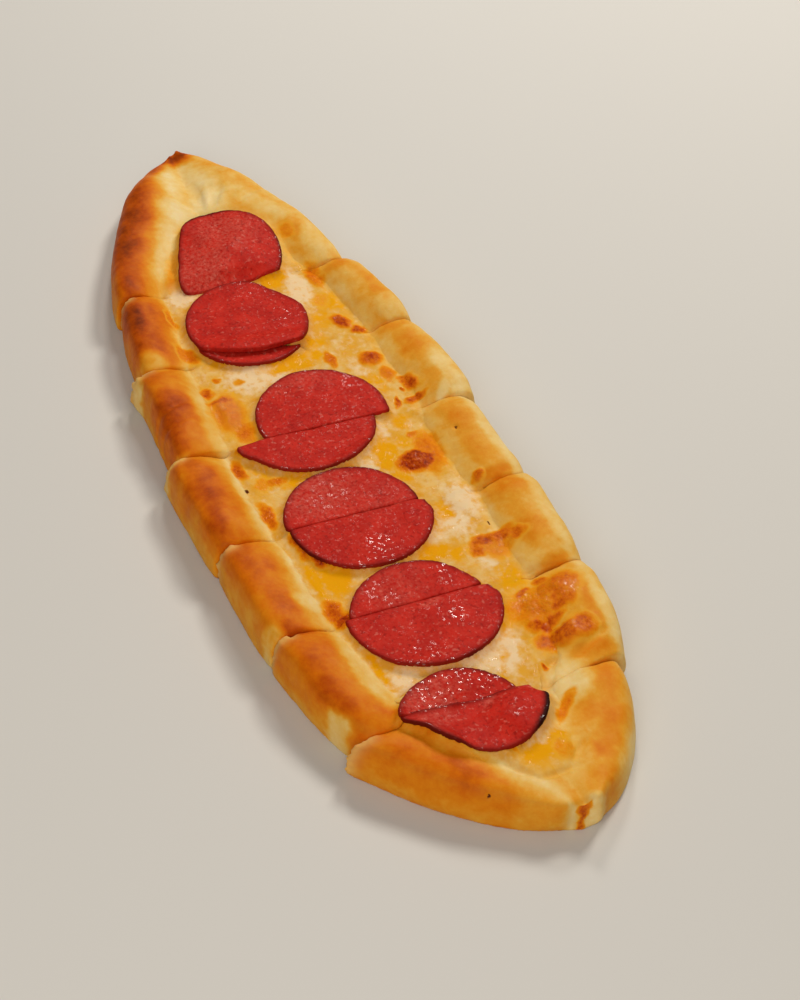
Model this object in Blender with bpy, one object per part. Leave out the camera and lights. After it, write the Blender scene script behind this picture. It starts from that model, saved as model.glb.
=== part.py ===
"""Sliced pide: an open boat of baked dough, filled with melted cheese and topped with sausage.

Sizes are in metres. +X runs along the boat to its blunt, pinched tip, +Z is up, and z = 0 is the flat
underside. The boat is described once, as smooth formulas for its outline, its rim and its trough.
Six knife cuts part it into seven slices, and every slice has its own length of filling. Six rounds
of sausage lie along the trough. The knife went through all of them, and the first has lost its
offcut.
"""
import math

import bmesh
import bpy
from mathutils import Vector
from mathutils.bvhtree import BVHTree

# --- outline of the boat -------------------------------------------------------------------------
HALF_LENGTH = 0.2045          # middle to either tip
HALF_WIDTH = 0.0642           # at the widest place
WIDEST_X = 0.030              # where that is
BOW = 0.0100                  # how far both tips curve to +Y
FAR_POWER, FAR_ROUNDNESS = 2.0, 0.545     # long slender end at -X
NEAR_POWER, NEAR_ROUNDNESS = 3.4, 0.62    # blunter end at +X
FAR_SHARPNESS = 0.0022        # length over which an end narrows to its point
NEAR_SHARPNESS = 0.0010
TIP_HALF_WIDTH = 0.003        # what is left of the width at the very end

# --- rim and trough ------------------------------------------------------------------------------
RIM_HEIGHT = 0.0200           # crest of the crust in the middle of the boat
FAR_TIP_HEIGHT = 0.0122
NEAR_TIP_HEIGHT = 0.0145
FAR_TIP_RUN, NEAR_TIP_RUN = 0.035, 0.080  # lengths over which the rim comes down to a tip
SIDE_HEIGHT = 0.0040          # where the side of the loaf is widest
SIDE_TUCK = 0.0010            # how far the side draws in below that
TUCK_AT_TIPS = 0.2            # part of the tuck that is left at the tips
TUCK_POWER = 3                # keeps the tuck to the outer edge of the underside
CREST_AT = 0.42               # place of the crest, from the outside (0) to the trough (1)
FALL_POWER = 1.7              # how sharply the rim falls from its crest to the trough
TIP_SQUARENESS, SQUARENESS = 2.0, 3.8     # 2 is a round shoulder, more is a squarer one
SQUARE_RUN = 0.100            # length over which a tip's shoulder becomes square
RIM_WAVE = 0.0007             # unevenness of the baked rim
# its two waves: radians for each metre of length, shift between the two sides, strength
RIM_WAVES = ((93.0, 1.7, 1.0), (171.0, -0.9, 0.6))
TROUGH_HALF_WIDTH = 0.038
TROUGH_MIDDLE = 0.025         # x of the trough's widest place
TROUGH_FAR_RUN, TROUGH_NEAR_RUN = 0.173, 0.163
TROUGH_FAR_ROUNDNESS, TROUGH_NEAR_ROUNDNESS = 0.5, 0.7
NARROWEST_TROUGH = 0.22       # as a part of the half width, so that the grid stays open at the ends
HOLLOW_HEIGHT = 0.0126        # foot of the rim, where the filling starts
FAR_HOLLOW_HEIGHT = 0.0165    # the dough rises under the first sausage
NEAR_HOLLOW_HEIGHT = 0.0150
FAR_RISE_FROM, FAR_RISE_RUN = -0.100, 0.050     # x where the hollow starts to rise, and how long it takes
NEAR_RISE_FROM, NEAR_RISE_RUN = 0.150, 0.040
FOLD_SLOPE = 0.10             # the fold where the two rims meet climbs away from a tip
FAR_FOLD_DEPTH, NEAR_FOLD_DEPTH = 0.0012, 0.0016
FLOOR_DROP = 0.0062           # the dough under the filling lies this far below the hollow
WALL_RUN = 0.008              # width of the slope down to it
DEEP_TROUGH = 0.020           # half width of the trough from which it has its whole depth

# --- cuts and slices -----------------------------------------------------------------------------
CUT_GAP = 0.0006
# x of each cut on the middle line, and how much x it gains for each unit of y
CUTS = ((-0.1000, 0.07), (-0.0525, 0.07), (0.0010, 0.06), (0.0520, 0.05), (0.1015, 0.04), (0.1530, 0.03))
# how far each slice has slid along its cuts: at its -X end and at its +X end
SLIDES = ((0.0000, -0.0003), (0.0020, 0.0028), (0.0022, 0.0024), (-0.0014, -0.0008),
          (0.0010, -0.0006), (0.0003, -0.0020), (-0.0050, 0.0004))
COLUMNS = (18, 8, 9, 9, 8, 9, 13)         # grid columns along each slice
TIP_CROWDING = 1.35           # how much closer the columns stand at a tip
CORNER_ROUNDING = 0.0012      # the crust draws in beside a cut
CORNER_DIP = 0.00084          # and down
CORNER_RUN = 0.0050
# how far the corner at each slice's -X end sticks out to -Y, where the knife dragged it
FLARES = (0.0, 0.0, 0.0034, 0.0016, 0.0015, 0.0020, 0.0042)
FLARE_RUN = 0.0070
RIM_LINES = (0.0, 0.06, 0.17, 0.32, 0.50, 0.68, 0.85)    # grid lines across the rim, from outside
TROUGH_LINES = (1.0, 0.90, 0.78, 0.55, 0.28)             # grid lines across the trough, from its edge

# --- filling -------------------------------------------------------------------------------------
FILLING_GAP = 0.00045         # between the filling and the dough under it
FILLING_EDGE = 0.0010         # its thickness where it thins out on the rim
FILLING_RISE = 0.0010         # its top above the foot of the rim
FILLING_RELIEF = 0.0004       # its gentle bumps: height, then radians for each metre and offset
RELIEF_X, RELIEF_Y = (210.0, 1.0), (240.0, 0.6)
FAR_FILLING_END, NEAR_FILLING_END = -0.138, 0.183

# --- sausage -------------------------------------------------------------------------------------
SAUSAGE_THICKNESS = 0.0026
SAUSAGE_GAP = 0.0006
SAUSAGE_SIDES = 32
RING_STEPS = (0.12, 0.24, 0.30)           # insets from the edge to the middle, parts of the radius
KNIFE_WIDTH = 0.0006
SHORTEST_EDGE = 0.0004        # shorter ones, left by the cut, are merged
FEELER = 0.0012               # spacing of the points that feel for the surface below
ABOVE_ALL = 0.1               # height from which they look down
SETTLING_ROUNDS = 3

FINISHES = {
    # name: (red, green, blue), roughness
    "crust": ((0.62, 0.30, 0.08), 0.62),
    "filling": ((0.80, 0.52, 0.16), 0.38),
    "sausage": ((0.48, 0.05, 0.04), 0.34),
}


def smooth(value):
    """Ease from 0 to 1."""
    value = min(max(value, 0.0), 1.0)
    return value * value * (3.0 - 2.0 * value)


def blend(start, end, amount):
    return start + (end - start) * amount


# --- the boat's formulas -------------------------------------------------------------------------
def half_width(x):
    """Half the width of the boat at x."""
    from_tip = HALF_LENGTH - abs(x)
    if x < WIDEST_X:
        along = (WIDEST_X - x) / (WIDEST_X + HALF_LENGTH)
        shape = max(1.0 - along ** FAR_POWER, 0.0) ** FAR_ROUNDNESS
        sharpness = FAR_SHARPNESS
    else:
        along = (x - WIDEST_X) / (HALF_LENGTH - WIDEST_X)
        shape = max(1.0 - along ** NEAR_POWER, 0.0) ** NEAR_ROUNDNESS
        sharpness = NEAR_SHARPNESS
    point = 1.0 - math.exp(-max(from_tip, 0.0) / sharpness)
    return max(HALF_WIDTH * shape * point, TIP_HALF_WIDTH)


def middle_line(x):
    """y of the boat's middle line: both tips bow to +Y."""
    return BOW * (x / HALF_LENGTH) ** 4


def trough_half_width(x):
    """Half the width of the filled trough; 0 past its ends."""
    if x < TROUGH_MIDDLE:
        along = (TROUGH_MIDDLE - x) / TROUGH_FAR_RUN
        power = TROUGH_FAR_ROUNDNESS
    else:
        along = (x - TROUGH_MIDDLE) / TROUGH_NEAR_RUN
        power = TROUGH_NEAR_ROUNDNESS
    return TROUGH_HALF_WIDTH * max(1.0 - along ** 3, 0.0) ** power


def grid_trough(x):
    """The trough's half width as the grid lines follow it, which never closes altogether."""
    return max(trough_half_width(x), NARROWEST_TROUGH * half_width(x))


def rim_height(x, side):
    """Crest of the crust, with the slow unevenness of baked dough."""
    tip_height, run = (FAR_TIP_HEIGHT, FAR_TIP_RUN) if x < 0.0 else (NEAR_TIP_HEIGHT, NEAR_TIP_RUN)
    level = blend(tip_height, RIM_HEIGHT, smooth((HALF_LENGTH - abs(x)) / run))
    wave = sum(strength * math.sin(x * turn + side * shift) for turn, shift, strength in RIM_WAVES)
    return level + RIM_WAVE * wave


def hollow_height(x):
    """Foot of the rim. The dough rises towards both tips, where the two rims meet in a fold."""
    if x < 0.0:
        level = blend(HOLLOW_HEIGHT, FAR_HOLLOW_HEIGHT, smooth((FAR_RISE_FROM - x) / FAR_RISE_RUN))
        return min(level, FAR_TIP_HEIGHT - FAR_FOLD_DEPTH + FOLD_SLOPE * (HALF_LENGTH + x))
    level = blend(HOLLOW_HEIGHT, NEAR_HOLLOW_HEIGHT, smooth((x - NEAR_RISE_FROM) / NEAR_RISE_RUN))
    return min(level, NEAR_TIP_HEIGHT - NEAR_FOLD_DEPTH + FOLD_SLOPE * (HALF_LENGTH - x))


def rim_profile(x, side, across, dip):
    """Height of the rim, where across runs from 0 outside to 1 at the trough."""
    crest = rim_height(x, side) - dip
    if across < CREST_AT:
        reach = (CREST_AT - across) / CREST_AT
        power = blend(TIP_SQUARENESS, SQUARENESS, smooth((HALF_LENGTH - abs(x)) / SQUARE_RUN))
        return blend(SIDE_HEIGHT, crest, (1.0 - reach ** power) ** (1.0 / power))
    fall = ((across - CREST_AT) / (1.0 - CREST_AT)) ** FALL_POWER
    return blend(crest, hollow_height(x), fall)


def floor_height(x, inward):
    """Height of the dough under the filling, inward from the trough's edge."""
    depth = FLOOR_DROP * smooth(trough_half_width(x) / DEEP_TROUGH)
    return hollow_height(x) - depth * smooth(inward / WALL_RUN)


# --- slices --------------------------------------------------------------------------------------
def slice_ends(index):
    """The cuts at both ends of a slice, as (x on the middle line, lean)."""
    far = CUTS[index - 1] if index > 0 else (-HALF_LENGTH, 0.0)
    near = CUTS[index] if index < len(CUTS) else (HALF_LENGTH, 0.0)
    far_gap = CUT_GAP / 2.0 if index > 0 else 0.0
    near_gap = CUT_GAP / 2.0 if index < len(CUTS) else 0.0
    return (far[0] + far_gap, far[1]), (near[0] - near_gap, near[1])


def stations(index):
    """Parts of the slice's length at which its columns stand, closer together towards a tip."""
    count = COLUMNS[index]
    steps = [column / count for column in range(count + 1)]
    if index == 0:
        return [step ** TIP_CROWDING for step in steps]
    if index == len(CUTS):
        return [1.0 - (1.0 - step) ** TIP_CROWDING for step in steps]
    return steps


def closeness_to_cut(index, x):
    """1 at a cut, falling to 0 inside the slice. A tip isn't a cut."""
    far, near = slice_ends(index)
    distances = []
    if index > 0:
        distances.append(x - far[0])
    if index < len(CUTS):
        distances.append(near[0] - x)
    return math.exp(-min(distances) / CORNER_RUN)


def place(index, along, y_from_middle):
    """World x and y of a point of the grid. Slices slide along their cuts, which stay plane."""
    far, near = slice_ends(index)
    x = blend(far[0], near[0], along)
    y = middle_line(x) + blend(*SLIDES[index], along) + y_from_middle
    x_here = blend(far[0] + far[1] * y, near[0] + near[1] * y, along)
    return x_here, y


def across_lines():
    """The grid lines from -Y to +Y: (side, part of the boat, place in it)."""
    lines = [(-1, "rim", step) for step in RIM_LINES]
    lines += [(-1, "trough", step) for step in TROUGH_LINES]
    lines.append((1, "trough", 0.0))
    lines += [(1, "trough", step) for step in reversed(TROUGH_LINES)]
    lines += [(1, "rim", step) for step in reversed(RIM_LINES)]
    return lines


def crust_points(index, along, line):
    """Top and bottom point of one slice's crust on one grid line."""
    side, part, step = line
    far, near = slice_ends(index)
    x = blend(far[0], near[0], along)
    near_cut = closeness_to_cut(index, x)
    width = half_width(x) - CORNER_ROUNDING * near_cut
    if side < 0:
        width += FLARES[index] * math.exp(-(x - far[0]) / FLARE_RUN)
    trough = grid_trough(x)
    if part == "rim":
        y = width - step * (width - trough)
        rim_width = width - trough_half_width(x)
        height = rim_profile(x, side, (width - y) / rim_width, CORNER_DIP * near_cut)
    else:
        y = trough * step
        true_edge = trough_half_width(x)
        if y > true_edge:
            across = (width - y) / (width - true_edge)
            height = rim_profile(x, side, across, 0.0)
        else:
            height = floor_height(x, true_edge - y)
    tuck = SIDE_TUCK * min(width / HALF_WIDTH + TUCK_AT_TIPS, 1.0) * (y / width) ** TUCK_POWER
    top = Vector((*place(index, along, side * y), height))
    bottom = Vector((*place(index, along, side * (y - tuck)), 0.0))
    return top, bottom


def filling_points(index, along, line):
    """Top and bottom point of one slice's filling on one grid line."""
    dough, _ = crust_points(index, along, line)
    bottom = dough + Vector((0.0, 0.0, FILLING_GAP))
    relief = math.sin(dough.x * RELIEF_X[0] + RELIEF_X[1]) * math.sin(dough.y * RELIEF_Y[0] + RELIEF_Y[1])
    level = hollow_height(dough.x) + FILLING_RISE + FILLING_RELIEF * relief
    top = bottom.copy()
    top.z = max(level, bottom.z + FILLING_EDGE)
    return top, bottom


# --- solids --------------------------------------------------------------------------------------
def make_material(name):
    colour, roughness = FINISHES[name]
    material = bpy.data.materials.new(name)
    material.use_nodes = True
    shader = material.node_tree.nodes["Principled BSDF"]
    shader.inputs["Base Color"].default_value = (*colour, 1.0)
    shader.inputs["Roughness"].default_value = roughness
    material.diffuse_color = (*colour, 1.0)
    return material


def add_object(name, mesh_data, finish, collection):
    """Turn a finished bmesh into an object of the collection."""
    bmesh.ops.recalc_face_normals(mesh_data, faces=mesh_data.faces)
    bmesh.ops.triangulate(mesh_data, faces=mesh_data.faces, quad_method="FIXED")
    mesh = bpy.data.meshes.new(name)
    mesh_data.to_mesh(mesh)
    mesh_data.free()
    mesh.shade_smooth()
    mesh.set_sharp_from_angle(angle=math.radians(50.0))
    mesh.materials.append(finish)
    part = bpy.data.objects.new(name, mesh)
    collection.objects.link(part)
    return part


def slab(along_steps, lines, points):
    """A closed slab: a grid is extruded once, and its two sheets are moved to their places."""
    columns = len(along_steps) - 1
    rows = len(lines) - 1
    data = bmesh.new()
    bmesh.ops.create_grid(data, x_segments=columns, y_segments=rows, size=1.0)
    extruded = bmesh.ops.extrude_face_region(data, geom=data.faces[:])
    upper = {item for item in extruded["geom"] if isinstance(item, bmesh.types.BMVert)}
    for vert in data.verts:
        column = round((vert.co.x + 1.0) / 2.0 * columns)
        row = round((vert.co.y + 1.0) / 2.0 * rows)
        top, bottom = points(along_steps[column], lines[row])
        vert.co = top if vert in upper else bottom
    return data


def build_crust(index, finish, collection):
    data = slab(stations(index), across_lines(), lambda along, line: crust_points(index, along, line))
    return add_object(f"crust_slice_{index + 1}", data, finish, collection)


def build_filling(index, finish, collection):
    far, near = slice_ends(index)
    steps = []
    for along in stations(index):
        if FAR_FILLING_END <= blend(far[0], near[0], along) <= NEAR_FILLING_END:
            steps.append(along)
    lines = [line for line in across_lines() if line[1] == "trough"]
    data = slab(steps, lines, lambda along, line: filling_points(index, along, line))
    return add_object(f"cheese_filling_{index + 1}", data, finish, collection)


def surface_below(trees, x, y):
    """Height of what lies under a point, felt for at the point and close around it."""
    highest = 0.0
    for step_x, step_y in ((0, 0), (1, 0), (-1, 0), (0, 1), (0, -1)):
        start = Vector((x + step_x * FEELER, y + step_y * FEELER, ABOVE_ALL))
        for tree in trees:
            hit = tree.ray_cast(start, Vector((0.0, 0.0, -1.0)))[0]
            if hit is not None:
                highest = max(highest, hit.z)
    return highest


def lay_down(sheet, trees, lift):
    """Lay an open sheet on what is under it, so that no corner, edge or face dips into it."""
    for vert in sheet.verts:
        vert.co.z = surface_below(trees, vert.co.x, vert.co.y) + SAUSAGE_GAP + lift
    for _ in range(SETTLING_ROUNDS):
        for patch in sheet.edges[:] + sheet.faces[:]:
            middle = sum((vert.co for vert in patch.verts), Vector()) / len(patch.verts)
            lack = surface_below(trees, middle.x, middle.y) + SAUSAGE_GAP + lift - middle.z
            for vert in patch.verts:
                vert.co.z += max(lack, 0.0)


def build_sausage(name, centre, radii, cut, keep, shift, trees, finish, collection):
    """A piece of a round: cut = (x on y = 0, lean), keep = -1 or +1 for the side that is left."""
    data = bmesh.new()
    bmesh.ops.create_circle(data, cap_ends=True, segments=SAUSAGE_SIDES, radius=1.0)
    for step in RING_STEPS:
        inner = max(data.faces, key=lambda face: len(face.verts))
        bmesh.ops.inset_region(data, faces=[inner], thickness=step)
    inner = max(data.faces, key=lambda face: len(face.verts))
    bmesh.ops.poke(data, faces=[inner])
    for vert in data.verts:
        vert.co = Vector((centre[0] + vert.co.x * radii[0], centre[1] + vert.co.y * radii[1], 0.0))
    blade = Vector((1.0, -cut[1], 0.0)).normalized()
    on_cut = Vector((cut[0], 0.0, 0.0)) + blade * (keep * KNIFE_WIDTH / 2.0)
    everything = data.verts[:] + data.edges[:] + data.faces[:]
    bmesh.ops.bisect_plane(data, geom=everything, plane_co=on_cut, plane_no=blade * -keep, clear_outer=True)
    bmesh.ops.dissolve_degenerate(data, edges=data.edges[:], dist=SHORTEST_EDGE)
    bmesh.ops.translate(data, verts=data.verts, vec=Vector((shift[0], shift[1], 0.0)))
    lay_down(data, trees, shift[2])
    extruded = bmesh.ops.extrude_face_region(data, geom=data.faces[:])
    upper = [item for item in extruded["geom"] if isinstance(item, bmesh.types.BMVert)]
    bmesh.ops.translate(data, verts=upper, vec=Vector((0.0, 0.0, SAUSAGE_THICKNESS)))
    return add_object(name, data, finish, collection)


# The pieces of sausage: name, centre of the round, its radii, the cut through it, the side kept,
# and how far the piece lies from where it was cut, (x, y, z).
SAUSAGE_PIECES = (
    ("sausage_1", (-0.1180, 0.0044), (0.0270, 0.0230), (-0.1005, 0.07), -1, (0.0, 0.0, 0.0)),
    ("sausage_2a", (-0.0710, -0.0046), (0.0262, 0.0255), (-0.0545, 0.30), -1, (0.0, 0.0, 0.0)),
    ("sausage_2b", (-0.0710, -0.0046), (0.0262, 0.0255), (-0.0545, 0.30), 1, (0.0012, -0.0008, 0.0)),
    ("sausage_3a", (-0.0058, 0.0020), (0.0270, 0.0265), (0.0010, 0.06), -1, (0.0, 0.0, 0.0)),
    ("sausage_3b", (-0.0008, -0.0066), (0.0250, 0.0275), (0.0010, 0.06), 1, (0.0, 0.0, 0.0)),
    ("sausage_4a", (0.0515, -0.0092), (0.0262, 0.0264), (0.0520, 0.05), -1, (0.0, 0.0, 0.0)),
    ("sausage_4b", (0.0530, -0.0070), (0.0270, 0.0278), (0.0520, 0.05), 1, (0.0, 0.0, 0.0)),
    ("sausage_5a", (0.1068, -0.0062), (0.0255, 0.0262), (0.1015, 0.04), -1, (0.0, 0.0, 0.0)),
    ("sausage_5b", (0.1052, -0.0048), (0.0280, 0.0290), (0.1015, 0.04), 1, (0.0, 0.0, 0.0)),
    ("sausage_6a", (0.1555, -0.0130), (0.0207, 0.0228), (0.1515, 0.03), -1, (0.0, 0.0, 0.0)),
    ("sausage_6b", (0.1525, -0.0060), (0.0240, 0.0245), (0.1520, 0.03), 1, (0.0, 0.0, 0.0)),
)


def main():
    for old in list(bpy.data.objects):
        bpy.data.objects.remove(old, do_unlink=True)
    collection = bpy.data.collections.new("sliced_pide")
    bpy.context.scene.collection.children.link(collection)
    finishes = {name: make_material(name) for name in FINISHES}

    food = []
    for index in range(len(CUTS) + 1):
        food.append(build_crust(index, finishes["crust"], collection))
        food.append(build_filling(index, finishes["filling"], collection))

    bpy.context.view_layer.update()
    graph = bpy.context.evaluated_depsgraph_get()
    trees = [BVHTree.FromObject(part, graph) for part in food]
    for name, centre, radii, cut, keep, shift in SAUSAGE_PIECES:
        build_sausage(name, centre, radii, cut, keep, shift, trees, finishes["sausage"], collection)


main()
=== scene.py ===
# %% [markdown]
# # A sliced pide
#
# A pide is a boat of bread dough. Its sides are folded up round a filling and its tips are pinched
# shut. This one holds melted cheese and six rounds of sausage, and it is cut across into seven
# slices. The plain model gives every size and place. Here each plain piece becomes soft clay, which
# is sculpted with smooth formulas and then painted with what the oven did to it.

import math

import bmesh
import bpy
import numpy as np
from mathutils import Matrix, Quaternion, Vector, noise
from mathutils.bvhtree import BVHTree
from mathutils.kdtree import KDTree


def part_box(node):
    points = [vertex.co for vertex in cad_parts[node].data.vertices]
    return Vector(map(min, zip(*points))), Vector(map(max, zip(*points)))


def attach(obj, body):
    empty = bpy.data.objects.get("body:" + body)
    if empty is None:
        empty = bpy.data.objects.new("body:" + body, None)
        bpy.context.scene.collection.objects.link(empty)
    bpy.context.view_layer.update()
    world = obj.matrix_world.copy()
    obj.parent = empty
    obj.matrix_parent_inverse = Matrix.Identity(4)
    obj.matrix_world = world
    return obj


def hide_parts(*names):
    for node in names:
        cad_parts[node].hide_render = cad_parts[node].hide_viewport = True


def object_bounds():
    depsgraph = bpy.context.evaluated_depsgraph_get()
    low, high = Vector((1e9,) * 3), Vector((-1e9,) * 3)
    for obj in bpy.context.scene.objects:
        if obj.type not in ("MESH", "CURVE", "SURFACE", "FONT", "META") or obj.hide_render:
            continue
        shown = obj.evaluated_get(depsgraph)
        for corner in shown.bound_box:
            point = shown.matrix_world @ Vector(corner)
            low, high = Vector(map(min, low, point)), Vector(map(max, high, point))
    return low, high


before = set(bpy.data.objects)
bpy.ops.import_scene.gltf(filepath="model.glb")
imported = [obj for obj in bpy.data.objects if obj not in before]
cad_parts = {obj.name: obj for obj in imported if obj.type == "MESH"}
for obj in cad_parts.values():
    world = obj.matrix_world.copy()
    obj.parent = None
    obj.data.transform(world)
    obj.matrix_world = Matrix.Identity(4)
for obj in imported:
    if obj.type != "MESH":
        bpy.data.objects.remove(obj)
cad_low, cad_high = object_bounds()
MM = 0.001
SLICES = range(1, 8)
ROUNDS = ("1", "2a", "2b", "3a", "3b", "4a", "4b", "5a", "5b", "6a", "6b")
print("plain model, mm:", [round(size / MM, 1) for size in cad_high - cad_low])

# %% [markdown]
# ## Tools for the bench
#
# Blender's operators act on whatever is selected, so a piece is always selected alone first.
# Sculpting is done on all points of a piece at once: they are read into one array, moved, and
# written back. A painted value is a number on every point, which a material can read.

# %% Selecting, finishing and reaching the points
def select_only(piece):
    bpy.ops.object.select_all(action="DESELECT")
    piece.select_set(True)
    bpy.context.view_layer.objects.active = piece


def finish_with(piece, kind, **settings):
    """Add a modifier with its settings and apply it."""
    select_only(piece)
    modifier = piece.modifiers.new(kind.title(), kind)
    for name, value in settings.items():
        setattr(modifier, name, value)
    bpy.ops.object.modifier_apply(modifier=modifier.name)


def points_of(piece):
    places = np.empty(len(piece.data.vertices) * 3)
    piece.data.vertices.foreach_get("co", places)
    return places.reshape(-1, 3)


def normals_of(piece):
    directions = np.empty(len(piece.data.vertices) * 3)
    piece.data.vertex_normals.foreach_get("vector", directions)
    return directions.reshape(-1, 3)


def move_points(piece, places):
    piece.data.vertices.foreach_set("co", places.ravel())
    piece.data.update()


def paint(piece, name, values):
    layer = piece.data.attributes.new(name, "FLOAT", "POINT")
    layer.data.foreach_set("value", np.clip(values, 0.0, 1.0))


# %% Soft steps, random lumps and oval dabs
def ease(values):
    """A soft step: 0 up to 0, 1 from 1 on."""
    values = np.clip(values, 0.0, 1.0)
    return values * values * (3.0 - 2.0 * values)


def grain(points, size, seed=0.0, depth=2):
    """Smooth random lumps of about the given size, from about -1 to 1."""
    spots = points / size + seed
    return np.array([noise.fractal(spot, 1.0, 2.0, depth) for spot in spots])


def wander(points):
    """The same places, each led a little astray, which makes the edge of a mark ragged."""
    shift = np.array([noise.noise_vector(spot) for spot in points / (6.0 * MM)]) * 1.5
    shift += np.array([noise.noise_vector(spot) for spot in points / (2.2 * MM)]) * 0.8
    return points + shift * MM


def dab(points, x, y, length, width, turn, soft=0.5):
    """1 inside a soft oval, a half on its edge, 0 outside. Sizes in mm, turn in degrees."""
    angle = math.radians(turn)
    step_x = points[:, 0] / MM - x
    step_y = points[:, 1] / MM - y
    along = step_x * math.cos(angle) + step_y * math.sin(angle)
    over = step_y * math.cos(angle) - step_x * math.sin(angle)
    distance = np.hypot(along * 2.0 / length, over * 2.0 / width)
    return ease((1.0 + soft - distance) / (2.0 * soft))


def strongest(points, dabs, soft=0.5):
    """The strongest of many dabs at each point."""
    total = np.zeros(len(points))
    for x, y, length, width, turn, strength in dabs:
        total = np.maximum(total, strength * dab(points, x, y, length, width, turn, soft))
    return total


def heaped(points, dabs):
    """The summed heights of many dabs, in metres."""
    total = np.zeros(len(points))
    for x, y, length, width, turn, height in dabs:
        total += height * MM * dab(points, x, y, length, width, turn, 0.6)
    return total


# %% [markdown]
# ## Reading the plain model
#
# The knife left six plane cuts. Each is read from the end faces of the slices, as its x on the
# middle line and its lean. The outline of the crust and the edge of the trough are read as the
# widest reach to each side at many stations, so that every point of the dough knows how far it
# lies between the two.

# %% Find the cuts
def end_plane(node, side):
    """x at y = 0, and lean, of the cut at one end of a slice."""
    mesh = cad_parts[node].data
    corners = []
    for face in mesh.polygons:
        if face.normal.x * side > 0.9:
            corners += [mesh.vertices[index].co for index in face.vertices]
    corners = np.array(corners)
    lean, start = np.polyfit(corners[:, 1], corners[:, 0], 1)
    return start, lean


CUTS = []
for number in SLICES[:-1]:
    before = end_plane(f"crust_slice_{number}", 1)
    after = end_plane(f"crust_slice_{number + 1}", -1)
    CUTS.append(((before[0] + after[0]) / 2.0, (before[1] + after[1]) / 2.0))
print("cuts at x, mm:", [round(start / MM, 1) for start, lean in CUTS])


def from_cut(points, cut):
    """Distance from a cut, more than 0 on its +X side."""
    start, lean = cut
    return (points[:, 0] - start - lean * points[:, 1]) / math.hypot(1.0, lean)


def inside_slice(points, number):
    """Distances from the cuts at the -X and the +X end of a slice; a tip is far away."""
    tip = np.full(len(points), 1.0)
    after = from_cut(points, CUTS[number - 2]) if number > 1 else tip
    before = -from_cut(points, CUTS[number - 1]) if number < 7 else tip
    return after, before


# %% Find the outline, the middle line and the edge of the trough
STATIONS = np.arange(cad_low.x, cad_high.x, 2.0 * MM)
SIDES = (-1, 1)


def corners_of(kind):
    """All corners of the plain pieces of one kind, as one array."""
    found = [points_of(node) for name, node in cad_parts.items() if name.startswith(kind)]
    return np.concatenate(found)


def reach(points, side):
    """The widest reach to one side at every station."""
    widest = []
    for station in STATIONS:
        near = points[abs(points[:, 0] - station) < 4.0 * MM]
        widest.append((near[:, 1] * side).max() if len(near) else -1.0)
    return np.array(widest)


def soften(values, count):
    return np.convolve(np.pad(values, count, "edge"), np.full(2 * count + 1, 1 / (2 * count + 1)), "valid")


dough_corners = corners_of("crust")
cheese_corners = corners_of("cheese")
OUTLINE = {side: soften(reach(dough_corners, side), 2) for side in SIDES}
MIDDLE = soften((OUTLINE[1] - OUTLINE[-1]) / 2.0, 6)
TROUGH = {}
for side in SIDES:
    tip_fold = side * MIDDLE + 0.2 * (OUTLINE[side] - side * MIDDLE)
    TROUGH[side] = soften(np.maximum(reach(cheese_corners, side), tip_fold), 4)
print("widest, mm:", round(float((OUTLINE[1] + OUTLINE[-1]).max()) / MM, 1))


def side_of(points):
    return np.where(points[:, 1] > np.interp(points[:, 0], STATIONS, MIDDLE), 1, -1)


def across(points):
    """0 at the outer edge of the crust, 1 at the edge of the trough, more inside it."""
    result = np.empty(len(points))
    sides = side_of(points)
    for side in SIDES:
        here = sides == side
        x, y = points[here, 0], points[here, 1] * side
        outer = np.interp(x, STATIONS, OUTLINE[side])
        inner = np.interp(x, STATIONS, TROUGH[side])
        result[here] = (outer - y) / (outer - inner)
    return result
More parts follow.
